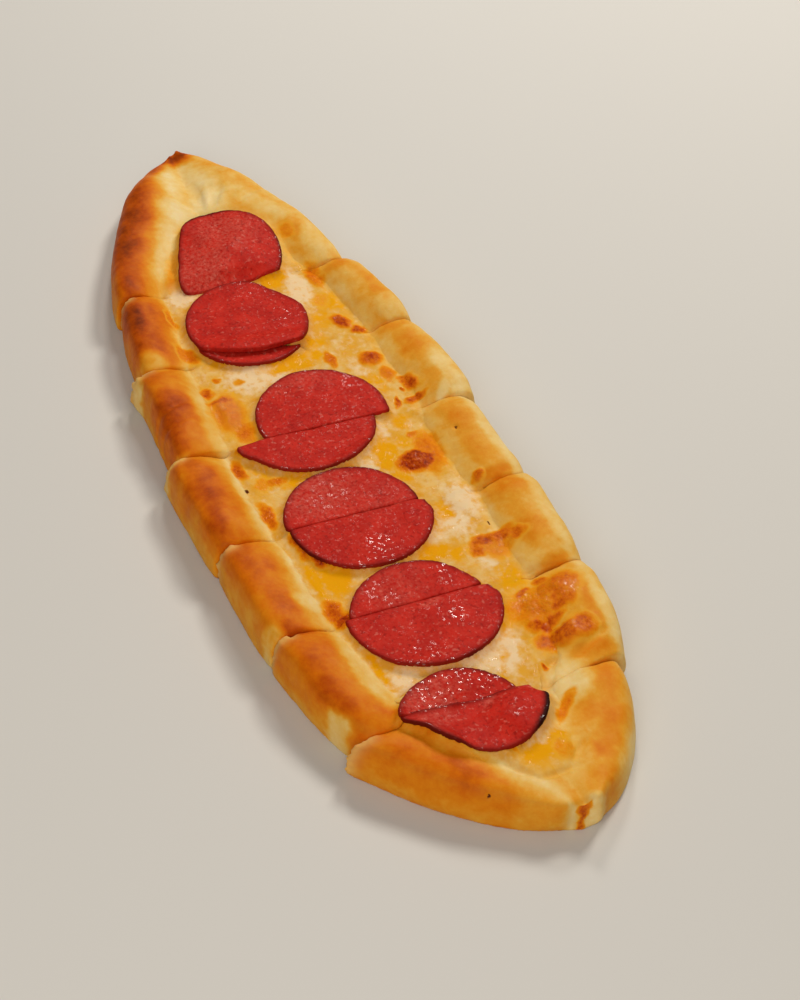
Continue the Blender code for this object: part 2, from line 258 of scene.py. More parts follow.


# %% [markdown]
# ## What the oven did, and the painted light and shade
#
# Baked food is uneven in a way no single pattern gives. So its marks are listed one by one, each as
# a soft oval: x, y, length and width in millimetres, the turn in degrees, and the strength. The
# side towards -Y is browner: partly it browned most, partly this is painted shade on the side that
# faces away from the light. The marks are named for what they mostly are: browned and pale dough,
# blistered cheese, burnt specks, fresh white cheese, and pools of yellow fat. Some of them are
# painted light and shade: the valleys beside the cuts, the hollow beside the last round, and the
# lit outer edge of the +Y side.

# %% Marks of the oven, and painted shade and highlight
BROWNED_AND_SHADED = (
    (-200, 8, 15, 11, 30, 2.6),   # nib of the far tip
    (-194, 1, 20, 7, -40, 1.3),
    (-194, 14, 8, 4, 30, 0.5),
    (-191, 42, 46, 4, 27, 0.6),   # thin line along the far +Y edge
    (-122, 36, 10, 8, 0, 0.5),
    (-146, -30, 66, 14, -27, 0.9),   # outer edge, -Y, slice 1
    (-116, -25, 30, 10, -12, 0.6),
    (-114, -40, 34, 14, -20, 0.72),
    (-92, 43, 7, 16, 10, 0.55),   # painted shade in the valleys beside the cuts, +Y, and browning between them
    (-69, 52, 16, 8, 5, 0.5),
    (-45, 50, 7, 16, 0, 0.48),
    (-30, 51, 22, 9, 0, 0.42),
    (-86, -48, 28, 14, -8, 1.0),   # slice 2, -Y
    (-88, -34, 20, 14, 0, 1.0),
    (-84, -37, 26, 9, -5, 0.7),
    (-70, -40, 24, 14, 0, 0.9),
    (-69, -52, 26, 9, -5, 0.85),
    (-20, -57, 34, 10, -5, 0.9),   # slice 3, -Y
    (-30, -47, 16, 8, 20, 0.62),
    (-44, -57, 12, 5, -20, 0.45),
    (18, -56, 26, 16, -5, 0.8),   # slice 4, -Y
    (39, -59, 22, 10, -5, 0.82),
    (35, -48, 20, 6, -10, 0.6),
    (6, -63, 20, 5, -5, 0.62),
    (66, -59, 30, 12, -3, 0.4),   # slice 5, -Y
    (85, -49, 20, 10, 10, 0.68),
    (98, -52, 6, 16, -20, 0.85),
    (66, -46, 16, 6, 0, 0.55),
    (131, -52, 26, 9, 20, 0.85),   # slice 6, -Y
    (113, -52, 20, 16, 0, 0.66),
    (111, -60, 30, 6, 4, 0.7),
    (159, -48, 22, 16, 10, 0.4),   # slice 7, -Y
    (176, -31, 34, 12, 36, 0.35),
    (194, -13, 20, 14, 60, 0.2),
    (163, -34, 18, 10, 20, 0.4),
    (161, -23, 34, 7, 40, 1.8),
    (170, -24, 32, 9, 34, 1.0),
    (60, 49, 14, 14, 0, 0.55),   # slice 5, +Y
    (84, 47, 22, 9, -10, 0.5),
    # painted shade in the valley beside the fourth cut
    (52, 48, 5, 18, 0, 0.5),
    (25, 48, 34, 10, 0, 0.42),
    (127, 48, 34, 6, -3, 0.48),   # slice 6, +Y
    # painted shade in the valleys beside the fifth and sixth cuts
    (102, 50, 5, 16, 10, 0.5),
    (149, 42, 6, 18, -15, 0.58),
    (165, 39, 18, 12, -20, 0.52),   # slice 7, +Y
    (177, 34, 20, 12, -30, 0.58),
    (186, 24, 8, 7, 0, 0.52),
    (171, 25, 12, 8, -50, 0.5),
    (196, 12, 16, 20, 0, 0.52),
)
PALE_AND_LIT = (
    (203, -11, 12, 9, 40, 0.35),
    (-168, 7, 46, 22, 5, 0.8),   # inside of the far tip
    (-142, 29, 44, 8, 25, 0.55),
    (-137, -17, 44, 8, -25, 0.6),
    (-153, -4, 18, 20, -30, 0.85),
    (-112, 41, 30, 8, 0, 0.5),
    (-55, 52, 16, 9, 0, 0.45),
    (-6, 57, 34, 6, 0, 0.7),
    (-60, -49, 10, 12, -70, 0.65),   # pale corner before the second cut
    (-53, -58, 20, 4, -18, 0.9),   # torn flap of slice 3
    (-27, -41, 40, 5, -5, 0.4),
    (-2, -61, 5, 12, 20, 0.8),
    (0, 52, 4, 12, 50, 0.95),   # torn strip at the third cut
    (34, 58, 60, 5, 0, 0.6),   # outer edge, +Y: partly paler unbaked dough, partly a painted highlight where the light falls on it
    (85, 57, 50, 5, -4, 0.6),
    (133, 52, 46, 5, -8, 0.65),
    (170, 49, 44, 7, -33, 0.7),
    (207, 13, 9, 9, 0, 0.75),   # pinched lump at the near tip
    (20, -41, 40, 5, 0, 0.5),   # inner edge of the -Y rim
    (67, -38, 36, 5, 0, 0.62),
    (86, -42, 10, 8, 20, 0.7),
    (122, -37, 36, 6, 6, 0.6),
    (96, -59, 7, 8, 0, 0.75),   # crumb at the corners of the slices
    (141, -53, 12, 5, 10, 0.8),
    (142, -54, 6, 4, 0, 0.6),
    (156, 27, 16, 14, -10, 0.9),   # smooth pale dough beside the last round
    (175, -18, 34, 6, 45, 0.2),
    (198, -7, 14, 16, 60, 0.4),
)
BLISTERED = (
    (204, 8, 2.0, 5, 15, 0.85),   # pinch at the near tip
    (-121, 33, 8, 7, 0, 0.5),
    (-92, 34, 17, 6, 0, 0.62),
    (-60, 32, 10, 6, 30, 0.95),
    (-52, 37, 5, 7, -30, 0.9),
    (-33, 34, 9, 9, 0, 0.92),
    (-38, 19, 11, 4, 0, 0.72),
    (-22, 37, 10, 6, 0, 0.6),
    (-12, 43, 10, 6, 10, 0.85),
    (-16, 41, 5, 4, 0, 0.7),
    (-10, 38, 3, 2, 0, 0.95),
    (-3, 41, 3, 11, 10, 0.9),   # fold at the third cut
    (-3, 33, 7, 2, -20, 0.95),
    (16, 31, 4, 5, 0, 0.62),
    (28, 33, 24, 12, -10, 0.62),   # big brown patch of slice 4
    (31, 26, 10, 14, 0, 1.5),
    (50, 43, 5, 6, 30, 0.85),
    (84, 27, 7, 6, 0, 0.82),   # curl of brown on slice 5
    (80, 31, 6, 10, 0, 0.88),
    (80, 38, 6, 10, 10, 0.84),
    (83, 43, 6, 7, 0, 0.76),
    (85, 34, 11, 14, 0, 0.52),
    (108, 40, 6, 5, 0, 0.72),
    (119, 32, 20, 22, -15, 0.58),   # big glossy blob of slice 6
    (115, 39, 13, 14, 0, 0.60),
    (115, 46, 14, 11, 0, 0.72),
    (122, 42, 13, 10, 0, 0.72),
    (128, 32, 6, 14, -10, 0.86),
    (125, 40, 5, 7, 0, 0.84),
    (110, 32, 3, 9, 20, 0.8),
    (135, 30, 9, 9, 0, 0.76),   # square blob
    (138, 35, 10, 9, 0, 0.84),
    (139, 41, 10, 8, 0, 0.80),
    (165, 21, 12, 4, -52, 0.6),
    (144, 24, 4, 2.5, 20, 0.95),   # painted shadow in the hollow beside the last round
    (173, -5, 11, 3, 25, 0.66),
    (181, 12, 9, 8, 10, 0.4),
    (-76, 30, 10, 8, 0, 0.32),
    (-87, -32, 12, 3.5, 8, 0.6),
    (-62, -34, 14, 6, 25, 0.68),
    (-38, -34, 6, 5, 0, 0.85),
    (-44, -28, 3, 3, 0, 0.65),
    (-39, -20, 4, 4, 0, 0.42),
    (-22, -31, 24, 14, -8, 0.58),   # bubbly patch of slice 3
    (-31, -31, 4, 11, 0, 0.8),
    (-10, -29, 14, 8, -10, 0.66),
    (3, -34, 7, 5, 20, 0.85),
    (10, -39, 11, 4, 3, 0.88),
    (21, -28, 4, 8, 0, 0.7),
    (20, -34, 8, 6, 0, 0.42),
    (37, -38, 14, 5, 0, 0.82),
    (58, -33, 14, 5, 5, 0.92),
    (67, -29, 8, 4, 15, 1.15),
    (71, -25, 7, 6, 0, 0.58),
    (93, -34, 14, 7, 0, 0.82),
    (99, -33, 7, 6, 0, 1.15),
)
SPECKS = (
    (23, 46, 1.4, 1.2, 0, 0.9),
    (72, 37, 2.4, 0.8, -10, 1.0),
    (21, -40, 2.4, 1.4, 0, 0.9),
    (188, -19, 1.1, 1.1, 0, 1.0),
)
FRESH = (
    (-88, 25, 23, 9.2, 0, 0.95),
    (-81, 21, 13.8, 6.9, 0, 0.9),
    (-98, -23, 10.3, 12.6, -20, 0.95),
    (-38, -11, 14.9, 27.6, -15, 0.95),
    (-30, 28, 11.5, 6.9, 0, 0.55),
    (-45, 27, 11.5, 9.2, 0, 0.15),
    (27, 8, 8, 10.3, 0, 0.75),
    (57, 33, 18.4, 11.5, 0, 1.0),
    (66, 26, 16.1, 11.5, 0, 0.8),
    (70, 18, 6.9, 16.1, 10, 0.6),
    (88, 29, 11.5, 8, 0, 0.75),
    (133, 15, 20.7, 9.2, -25, 0.95),
    (133, 2, 5.8, 16.1, 10, 0.75),
    (130, -10, 4.6, 16.1, 0, 0.7),
    (135, 9, 12, 14, 0, 0.9),
    (133, -25, 11.5, 11.5, 0, 0.85),
    (12, 20, 11.5, 4.6, -20, 0.55),
    (20, 13, 6.9, 9.2, 0, 0.5),
    (177, 9, 9.2, 11.5, 0, 0.45),
)
POOLS = (
    (-96, 16, 10.8, 12, 0, 0.95),
    (-74, 34, 13.2, 13.2, -60, 0.85),
    (-64, 27, 12, 9.6, 0, 0.65),
    (-42, 4, 10.8, 21.6, 0, 0.95),
    (-44, 15, 9.6, 7.2, 0, 0.75),
    (-24, -27, 19.2, 6, 0, 0.85),
    (-19, 30, 14.4, 7.2, 20, 0.6),
    (-110, 34, 16.8, 9.6, 0, 0.5),
    (8, 30, 9.6, 7.2, 0, 0.7),
    (23, 17, 16.8, 9.6, -20, 1.0),
    (34, 19, 12, 9.6, -40, 0.85),
    (19, 26, 7.2, 7.2, 0, 0.8),
    (60, 24, 9.6, 7.2, 0, 0.75),
    (79, 12, 7.2, 14.4, 0, 0.95),
    (82, 20, 6, 10.8, 20, 0.8),
    (76, -27, 19.2, 12, -15, 1.0),
    (76, -34, 19.2, 4.8, 0, 0.95),
    (18, -32, 14.4, 6, 0, 0.65),
    (23, -22, 7.2, 12, 0, 0.7),
    (86, 33, 9.6, 6, 0, 0.7),
    (102, 32, 14.4, 9.6, 0, 0.9),
    (120, 20, 12, 7.2, -20, 0.75),
    (138, 11, 16.8, 3.0, -30, 0.5),
    (124, -31, 16.8, 3.6, 8, 0.85),
    (182, 6, 10.8, 21.6, 20, 0.95),
    (178, 14, 9, 12, 10, 1.3),
    (181, 2, 7, 12, 20, 1.1),
    (173, -8, 12, 4.8, 25, 0.6),
    (-51, 18, 6, 9.6, 0, 0.75),
    (-52, -22, 6, 14.4, -15, 0.65),
)

# Where fat stands so thick that it glints.
GLINTS = (
    (118, 34, 14, 12, 0, 1.6),
    (118, 44, 14, 9, 0, 1.2),
    (84, 36, 7, 12, 0, 1.2),
    (137, 34, 7, 12, 0, 1.0),
    (-24, -31, 18, 10, 0, 1.0),
    (177, 11, 7, 3, 60, 1.0),
    (138, 36, 6, 3, 0, 0.6),
    (30, 27, 5, 4, 0, 0.6),
    (79, 31, 5, 3, 0, 0.6),
    (-60, 32, 7, 4, 30, 0.5),
    (-33, 34, 5, 5, 0, 0.5),
    (8, -33, 10, 3, 0, 0.4),
    (-38, -30, 12, 3, 0, 0.4),
    (100, -34, 8, 4, 0, 0.5),
    (134, 9, 8, 3, -40, 0.4),
)

# Where no cheese ran.
BARE = (
    (157, 28, 24, 18, -10, 1.0),
    (168, 20, 12, 18, -40, 1.0),
    (183, 26, 20, 16, -40, 1.0),
    (-134, -8, 40, 40, 0, 1.0),
)

# %% Dents and heaps
# Less than 0 is a dent, more is a lump: x, y, length, width, turn, height in mm.
DENTS = (
    (-158, 14, 15, 4.0, 150, -0.5),     # folds that run to the far tip
    (-162, 7, 18, 4.0, 174, -0.6),
    (-160, 0, 15, 4.0, 198, -0.5),
    (-156, 18, 14, 4, 140, 0.3),
    (-160, 10, 16, 3, 163, 0.3),
    (-158, -4, 14, 4, 210, 0.4),
    (-152, 28, 16, 4, 118, -0.5),
    (204, 8, 9, 4.5, 80, -1.2),         # pinch at the near tip
    (206, 15, 8, 8, 0, 1.3),
    (202, -3, 10, 9, 0, 0.6),
    (184, 16, 12, 3.0, -55, -0.9),      # crease round the last pool of fat
    (189, 6, 14, 3.0, -90, -1.3),
    (184, -5, 10, 3.0, -140, -1.0),
    (157, 28, 18, 13, -10, 1.5),        # smooth fold beside the last round
    (144, 25, 7, 4.0, 100, -2.2),
    (147, 37, 18, 3.4, 105, -1.0),
    (188, -19, 1.4, 1.4, 0, -0.6),
    (23, 46, 1.8, 1.8, 0, -0.6),
    (103, 45, 16, 2.4, 75, -0.7),       # ripples of slice 6
    (99, 44, 4, 12, 0, 0.5),
    (-52, -60, 16, 5, -18, 1.2),        # dragged corner of slice 3
    (-28, -54, 3, 18, 18, -0.6),
    (-20, -54, 3, 18, 12, -0.5),
)
HEAPS = (
    (117, 38, 12, 12, -30, 1.5),        # glossy cheese that ran over the rim
    (122, 32, 9, 12, 30, 1.6),
    (126, 26, 6, 9, -40, 1.0),
    (115, 44, 8, 6, 0, 1.0),
    (138, 36, 10, 8, 0, 1.6),
    (30, 27, 9, 9, -50, 0.7),
    (30, 36, 22, 8, -10, 0.5),
    (80, 37, 12, 5, 30, 0.6),
    (57, 33, 15, 9, 0, 0.9),
    (-60, 32, 10, 6, 30, 0.6),
    (-33, 34, 9, 8, 0, 0.6),
    (-22, -33, 20, 8, -8, 0.6),
    (-12, 43, 10, 6, 10, 0.6),
    (50, 43, 5, 6, 30, 0.6),
)


# %% Put the oven's work and the painted light and shade together
def before_tip(points):
    """1 up to the round end of the cheese near the +X tip, and 0 past it."""
    x, y = points[:, 0] / MM, points[:, 1] / MM
    return ease((193.0 - ((y - 6.0) / 6.0) ** 2 - x) / 12.0)


def bake(points):
    """What the oven did at each place of dough or cheese, with the painted light and shade, as a value for
    every kind of mark.
    """
    place, sides = across(points), side_of(points)
    strayed = wander(points)
    eased = (points + strayed) / 2.0
    # shade: the -Y side, browner, partly from the oven and partly painted shade on the side that faces away
    # from the light. light: the +Y side, paler, partly less browned and partly painted light on the side that
    # faces the lamp.
    shade = np.interp(place, (0.0, 0.12, 0.35, 0.6, 0.8, 0.92, 1.0, 1.15),
                      (0.40, 0.60, 0.66, 0.56, 0.36, 0.16, 0.12, 0.34))
    light = np.interp(place, (0.0, 0.12, 0.35, 0.65, 0.85, 1.0), (0.13, 0.21, 0.37, 0.36, 0.29, 0.21))
    heat = np.where(sides < 0, shade, light)
    marks = strongest(strayed, BROWNED_AND_SHADED, 0.75) * (0.3 + 0.7 * ease((points[:, 2] / MM - 4.0) / 6.0))
    # Painted shade along the length: on the -Y side the far end is darker and the near end lighter.
    painted_shade_along_length = 0.10 - 0.22 * (points[:, 0] - cad_low.x) / (cad_high.x - cad_low.x)
    heat = np.where(sides < 0, heat * (1.0 + painted_shade_along_length) + 0.25 * marks, heat + 0.30 * marks)
    pale = strongest(strayed, PALE_AND_LIT)
    blotch = 0.09 * grain(points, 16.0 * MM, 3.0) + 0.06 * grain(points, 6.0 * MM, 4.0)

    border = 0.94 + 0.05 * grain(points, 8.0 * MM, 9.0) + 0.03 * grain(points, 2.5 * MM, 9.0)
    cover = ease((place - border) / np.where(sides < 0, 0.05, 0.24) + 0.5)
    along = points[:, 0] / MM
    far_end = ease((along + 112.0) / 12.0)
    return {
        "browning_and_shade": heat * (1.0 - 0.75 * pale) + blotch,
        "cover": cover * far_end * before_tip(points) * (1.0 - strongest(strayed, BARE, 0.3)),
        "blister": strongest(strayed, BLISTERED, 0.6),
        "fresh": strongest(eased, FRESH, 0.6),
        "fat": strongest(eased, POOLS, 0.6),
        "speck": strongest(points, SPECKS, 0.3),
        "glint": strongest(strayed, GLINTS),
    }


# %% [markdown]
# ## Clay
#
# A plain slice has large flat facets. Its triangles are joined back to quads, its sharp edges are
# kept half firm, and subdivision rounds the rest. A voxel remesh then gives it an even skin of
# small squares, fine enough to carry every lump and pore that is sculpted into it.

# %% Turn a plain piece into clay
def clay_from(node, name, cell, firmness, rounding):
    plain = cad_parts[node]
    piece = bpy.data.objects.new(name, plain.data.copy())
    bpy.context.scene.collection.objects.link(piece)
    piece.data.materials.clear()
    select_only(piece)
    bpy.ops.object.mode_set(mode="EDIT")
    bpy.ops.mesh.select_all(action="SELECT")
    bpy.ops.mesh.remove_doubles(threshold=0.01 * MM)
    bpy.ops.mesh.tris_convert_to_quads()
    bpy.ops.object.mode_set(mode="OBJECT")
    shape = bmesh.new()
    shape.from_mesh(piece.data)
    crease = shape.edges.layers.float.new("crease_edge")
    for edge in shape.edges:
        if edge.calc_face_angle(0.0) > math.radians(50.0):
            edge[crease] = firmness
    shape.to_mesh(piece.data)
    shape.free()
    finish_with(piece, "SUBSURF", levels=2, render_levels=2)
    finish_with(piece, "REMESH", mode="VOXEL", voxel_size=cell)
    finish_with(piece, "SMOOTH", factor=0.5, iterations=rounding)
    return piece


# %% [markdown]
# ## The sausage
#
# Each round was sliced about 2.6 mm thick and shrank a little in the oven: its skin side is dark
# and curls up, its face is finely grained and wet with fat. The clay of each plain piece is bent a
# little, and every point learns its distance from the skin and from the knife's cut.

# %% Sculpt a piece of sausage
# What lifts or presses down each piece: x, y, length, width, turn, height in mm.
BENDS = {
    "1": ((-112, 8, 24, 30, 0, 0.4), (-101, -2, 10, 30, 0, -1.6)),
    "2a": ((-57, -5, 52, 14, 73, 2.3), (-94, -4, 12, 30, 0, 0.8)),
    "2b": ((-50, -4, 40, 24, 73, -0.8),),
    "3a": ((-30, 6, 14, 30, 10, 0.5),),
    "3b": ((21, 6, 8, 26, 20, 1.0), (4, -20, 14, 20, 0, 0.2)),
    "4a": ((30, -8, 12, 40, 0, 0.5),),
    "4b": ((60, 12, 20, 10, 0, 0.5),),
    "5a": ((86, -4, 12, 40, 0, 0.5),),
    "5b": ((130, -4, 10, 40, 0, 0.8), (112, 2, 22, 18, 0, 0.4)),
    "6a": ((150, -12, 9, 34, 0, -0.8), (138, -16, 8, 36, 0, 0.6)),
    "6b": ((165, 8, 20, 22, -20, 2.2), (156, -10, 8, 30, 20, -0.9), (165, -26, 24, 6, 30, 1.8)),
}
# What spreads or draws in a piece: x, y, size, and the way it moves along x and y, in mm.
SPREADS = {
    "1": ((-101, -13, 20, 0.0, -7.0), (-101, -3, 30, 3.4, 0.0), (-130, -15, 20, 0.0, 3.0)),
    "2a": ((-58, -12, 34, 6.5, 0.0), (-86, 16, 18, 1.2, -1.4)),
    "3b": ((2, -34, 10, 1.0, -2.5),),
    "4b": ((53, 22, 8, 1.0, -2.0),),
    "5b": ((102, 25, 8, 1.0, -2.5),),
    "6a": ((151, -20, 22, 1.2, 0.0), (151, 0, 22, 1.2, 0.0)),
    "6b": ((152, -20, 22, -1.0, 0.0), (152, 2, 22, -1.0, 0.0), (153, 20, 8, 1.0, -6.0),
           (168, -24, 22, -1.2, 1.5), (152, -31, 9, -1.0, -4.0)),
}
# Where fat beads stand on the face; where the meat is paler, which on rounds 3a and 4a is partly a painted
# sheen; and where the skin is dark, which is partly charred skin and partly a painted shadow line along the
# edge.
BEADED = (
    (-71, 10, 9, 7, 0, 1.0),
    (-88, 4, 3, 3, 0, 0.8),
    (-98, 0, 14, 12, 0, 0.4),
    (-20, 20, 20, 8, 0, 0.5),
    (-24, -8, 10, 10, 0, 0.5),
    (2, 0, 8, 40, 0, 0.3),
    (70, -7, 11, 12, 0, 1.0),
    (76, -12, 8, 26, 20, 0.6),
    (40, -14, 20, 20, 0, 0.4),
    (90, 8, 18, 8, 0, 0.7),
    (92, -16, 18, 12, 0, 0.6),
    (112, 3, 10, 10, 0, 1.0),
    (126, -14, 14, 20, 0, 0.6),
    (143, -14, 18, 40, 0, 1.0),
    (162, 4, 10, 12, 0, 0.5),
)
FATTY_AND_SHEEN = (
    (-112, -8, 26, 20, 0, 1.0),
    (-128, 6, 26, 30, 0, 0.9),
    (150, -24, 5, 10, 0, 1.0),
    (155, -3, 4, 7, 20, 1.0),
    # rounds 3a and 4a: a painted sheen, given as paler meat
    (-30, 2, 18, 40, 0, 0.5),
    (36, -18, 24, 30, 0, 0.9),
    (46, 0, 16, 30, 0, 0.4),
    (92, -12, 18, 24, 0, 0.5),
    (104, -2, 3, 9, 0, 1.0),
    (143, -22, 16, 26, 0, 1.0),
    (158, -24, 8, 14, 30, 0.8),
)
CHARRED_AND_SHADED = (
    # painted shadow line along the far edge of round 1, where it meets the dough
    (-146, 4, 16, 36, 0, 1.0),
    (-110, 25, 30, 8, 0, 0.6),
    (165, 14, 24, 14, -40, 1.4),
    (163, -26, 28, 9, 30, 0.6),
    (140, 2, 20, 12, 0, 0.6),
    (84, 4, 10, 30, 0, 0.6),
    (30, -6, 10, 34, 0, 0.7),
    (50, 18, 20, 8, 0, 0.6),
    (62, -32, 30, 10, 0, 0.7),
    (-34, 10, 14, 30, 0, 0.5),
    (-92, 8, 16, 20, 0, 0.3),
)


def distances(points, places):
    tree = KDTree(len(places))
    for index, place in enumerate(places):
        tree.insert((place.x, place.y, 0.0), index)
    tree.balance()
    return np.array([tree.find((x, y, 0.0))[2] for x, y, _ in points])


def along_edges(corners, spacing=0.4 * MM):
    """Closely spaced places along the edges of a face."""
    places = []
    for start, end in zip(corners, corners[1:] + corners[:1]):
        steps = math.ceil((end - start).length / spacing)
        places += [start.lerp(end, step / steps) for step in range(steps)]
    return places


def skin_and_cut(label):
    """Places along a piece's skin, and along its cut."""
    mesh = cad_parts[f"sausage_{label}"].data
    towards_cut = -1.0 if label.endswith("b") else 1.0
    skin, cut = [], []
    for face in mesh.polygons:
        if abs(face.normal.z) < 0.5:
            found = cut if face.normal.x * towards_cut > 0.93 else skin
            found += along_edges([mesh.vertices[index].co.copy() for index in face.vertices])
    return skin, cut


def sculpt_sausage(label):
    piece = clay_from(f"sausage_{label}", f"sausage_piece_{label}", 0.42 * MM, 0.9, 3)
    points, facing = points_of(piece), normals_of(piece)
    skin_places, cut_places = skin_and_cut(label)
    from_skin = distances(points, skin_places)
    from_knife = distances(points, cut_places)
    flat = points * (1.0, 1.0, 0.0)
    strayed = wander(flat)
    seed = ROUNDS.index(label)
    lip = np.exp(-(from_skin / (1.8 * MM)) ** 2)
    bend = 0.30 * grain(flat, 18.0 * MM, seed) + 0.25 * lip
    for x, y, length, width, turn, height in BENDS[label]:
        bend += height * dab(points, x, y, length, width, turn)
    face = 0.05 * grain(points, 4.0 * MM, seed) + 0.05 * grain(points, 1.2 * MM, seed)
    face += 0.16 * lip * grain(points, 2.4 * MM, seed + 3)
    shaped = points + facing * (face * MM)[:, None]
    shaped[:, 2] += bend * MM
    for x, y, size, move_x, move_y in SPREADS.get(label, ()):
        shaped[:, :2] += dab(points, x, y, size, size, 0, 0.9)[:, None] * np.array((move_x, move_y)) * MM
    if label[0] in "345":
        to_cut = from_cut(points, CUTS[int(label[0]) - 1])
        shaped[:, 0] -= np.sign(to_cut) * 0.27 * MM * np.exp(-(from_knife / (2.0 * MM)) ** 2)
    move_points(piece, shaped)
    upright = ease(1.5 - 1.6 * abs(facing[:, 2]))
    paint(piece, "skin", np.exp(-(from_skin / (1.6 * MM)) ** 2))
    paint(piece, "rind", upright * ease(1.4 - from_skin / (0.8 * MM)))
    # The dark skin edge: char, and in places a painted shadow line along the edge.
    charred_and_shaded = strongest(flat, CHARRED_AND_SHADED)
    paint(piece, "char_and_edge_shade", charred_and_shaded * np.exp(-(from_skin / ((0.5 + charred_and_shaded) * MM)) ** 2))
    paint(piece, "cut", np.exp(-(from_knife / (0.7 * MM)) ** 2))
    paint(piece, "beads", strongest(strayed, BEADED) + 0.6 * np.exp(-((from_skin / MM - 0.8) / 0.5) ** 2))
    # paler meat, and on rounds 3a and 4a a painted sheen
    paint(piece, "fatty_and_sheen", strongest(strayed, FATTY_AND_SHEEN))
    return piece


sausages = {label: sculpt_sausage(label) for label in ROUNDS}
print("points in each piece:", [len(piece.data.vertices) for piece in sausages.values()])

# %% [markdown]
# ## Where the sausage lies
#
# Melted cheese rises a little round whatever lies on it. The lower rim of every finished round is
# kept in a tree, so that dough and cheese can find how near they are to one, and how high it lies.

# %% Feel for the rounds
rim_places = []
for piece in sausages.values():
    facing = normals_of(piece)[:, 2]
    rim_places += [Vector(place) for place in points_of(piece)[(facing < -0.5) & (facing > -0.9)]]
rim_tree = KDTree(len(rim_places))
for index, place in enumerate(rim_places):
    rim_tree.insert((place.x, place.y, 0.0), index)
rim_tree.balance()
graph = bpy.context.evaluated_depsgraph_get()
round_trees = [BVHTree.FromObject(piece, graph) for piece in sausages.values()]

UP = Vector((0.0, 0.0, 1.0))
NESTLE = 1.4 * MM             # how far cheese and dough climb the edge of a round
NESTLE_RUN = 1.5 * MM


def round_above(x, y):
    """Underside of the lowest round that lies over this place, or None."""
    hits = [tree.ray_cast(Vector((x, y, 0.0)), UP)[0] for tree in round_trees]
    return min((hit.z for hit in hits if hit is not None), default=None)


def nestle(points):
    """New heights of points that lie near or under a round, and how near each is, 0 to 1."""
    heights = points[:, 2].copy()
    nearness = np.zeros(len(points))
    for index, (x, y, z) in enumerate(points):
        _, found, distance = rim_tree.find((x, y, 0.0))
        if distance > 6.0 * NESTLE_RUN and z < 0.012:
            continue
        near = math.exp(-distance / NESTLE_RUN)
        climbed = rim_places[found].z + NESTLE
        covered = round_above(x, y)
        if covered is not None:
            under = covered + NESTLE
            if distance < 1.0 * MM:
                under = min(under, climbed)
            heights[index] = min(z, under) * (1.0 - near) + under * near
            near = 1.0
        elif near > 0.01:
            heights[index] = z + near * max(climbed - z, 0.0)
        nearness[index] = near
    return heights, nearness


# %% [markdown]
# ## The dough
#
# Bread crust is taut and lumpy at once: broad swellings, small bumps, and valleys where the knife
# pressed it down. At the corners where the knife dragged, it is torn and shows pale crumb. All of
# that is moved into the clay along its normals, and fades out towards the flat underside.

# %% Sculpt a slice of crust
VALLEY_RUN = 5.5 * MM
VALLEY_DEPTH = {-1: 1.7 * MM, 1: 2.4 * MM}
CUT_GAP = 0.2 * MM

# The last slice stands out past its neighbour: x, y, length, width, turn, then the move along and out.
DRAWN = (
    (153, 60, 60, 52, 0, -5.0, 2.0),
    (168, 54, 56, 44, -30, 0.0, 1.8),
)


def sculpt_crust(number):
    piece = clay_from(f"crust_slice_{number}", f"crust_{number}", 0.8 * MM, 0.7, 6)
    points, skin = points_of(piece), normals_of(piece)
    place, sides = across(points), side_of(points)
    after, before = inside_slice(points, number)
    lifted = ease(points[:, 2] / (4.0 * MM))
    on_rim = ease((1.08 - place) / 0.25)
    strayed = wander(points)
    baked = bake(points)

    swell = 0.60 * grain(points, 24.0 * MM, number) + 0.26 * grain(points, 9.0 * MM, number)
    swell += 0.08 * grain(points, 3.0 * MM, number)
    corner = ease((0.45 - place) / 0.2) * (sides < 0) * (number > 1) * lifted
    torn = corner * np.exp(-(after / (3.2 * MM)) ** 2)
    swell += torn * (0.9 * grain(points, 2.2 * MM, 5.0) + 0.5 * grain(points, 5.0 * MM, 5.0))
    swell += baked["blister"] * (0.2 + 0.5 * np.abs(grain(points, 2.2 * MM, 7.0, 3)))
    moved = swell * MM * (0.35 + 0.65 * on_rim) + heaped(points, DENTS) + heaped(strayed, HEAPS)
    shaped = points + skin * (moved * lifted)[:, None]

    valley = np.exp(-(after / VALLEY_RUN) ** 2) + np.exp(-(before / VALLEY_RUN) ** 2)
    depth = np.where(sides > 0, VALLEY_DEPTH[1], VALLEY_DEPTH[-1])
    shaped[:, 2] -= valley * depth * on_rim * lifted * points[:, 2] / cad_high.z
    nestled, near_round = nestle(shaped)
    beside = ease((1.3 - place) / 0.2)
    shaped[:, 2] += beside * (nestled - shaped[:, 2])
    shaped[:, 0] += np.maximum(CUT_GAP - after, 0.0) - np.maximum(CUT_GAP - before, 0.0)
    for x, y, length, width, turn, move_x, move_y in DRAWN:
        near = dab(points, x, y, length, width, turn, 1.0)
        shaped[:, 0] += move_x * MM * near
        shaped[:, 1] += move_y * MM * near
    shaped[:, 2] = np.maximum(shaped[:, 2], cad_low.z)
    move_points(piece, shaped)
    for name, values in baked.items():
        paint(piece, name, values)
    paint(piece, "crumb", torn * 1.4)
    paint(piece, "near_round", near_round)
    return piece


crusts = {number: sculpt_crust(number) for number in SLICES}
print("points in each slice:", [len(piece.data.vertices) for piece in crusts.values()])

# %% [markdown]
# ## The cheese
#
# Grated cheese melts into one sheet that is level in the middle and climbs the dough in a thin,
# ragged film. A fine grid is laid from cut to cut and shaped by what lies under it, and then
# pulled down once by extrusion, so that it is a closed layer with a face at each cut.

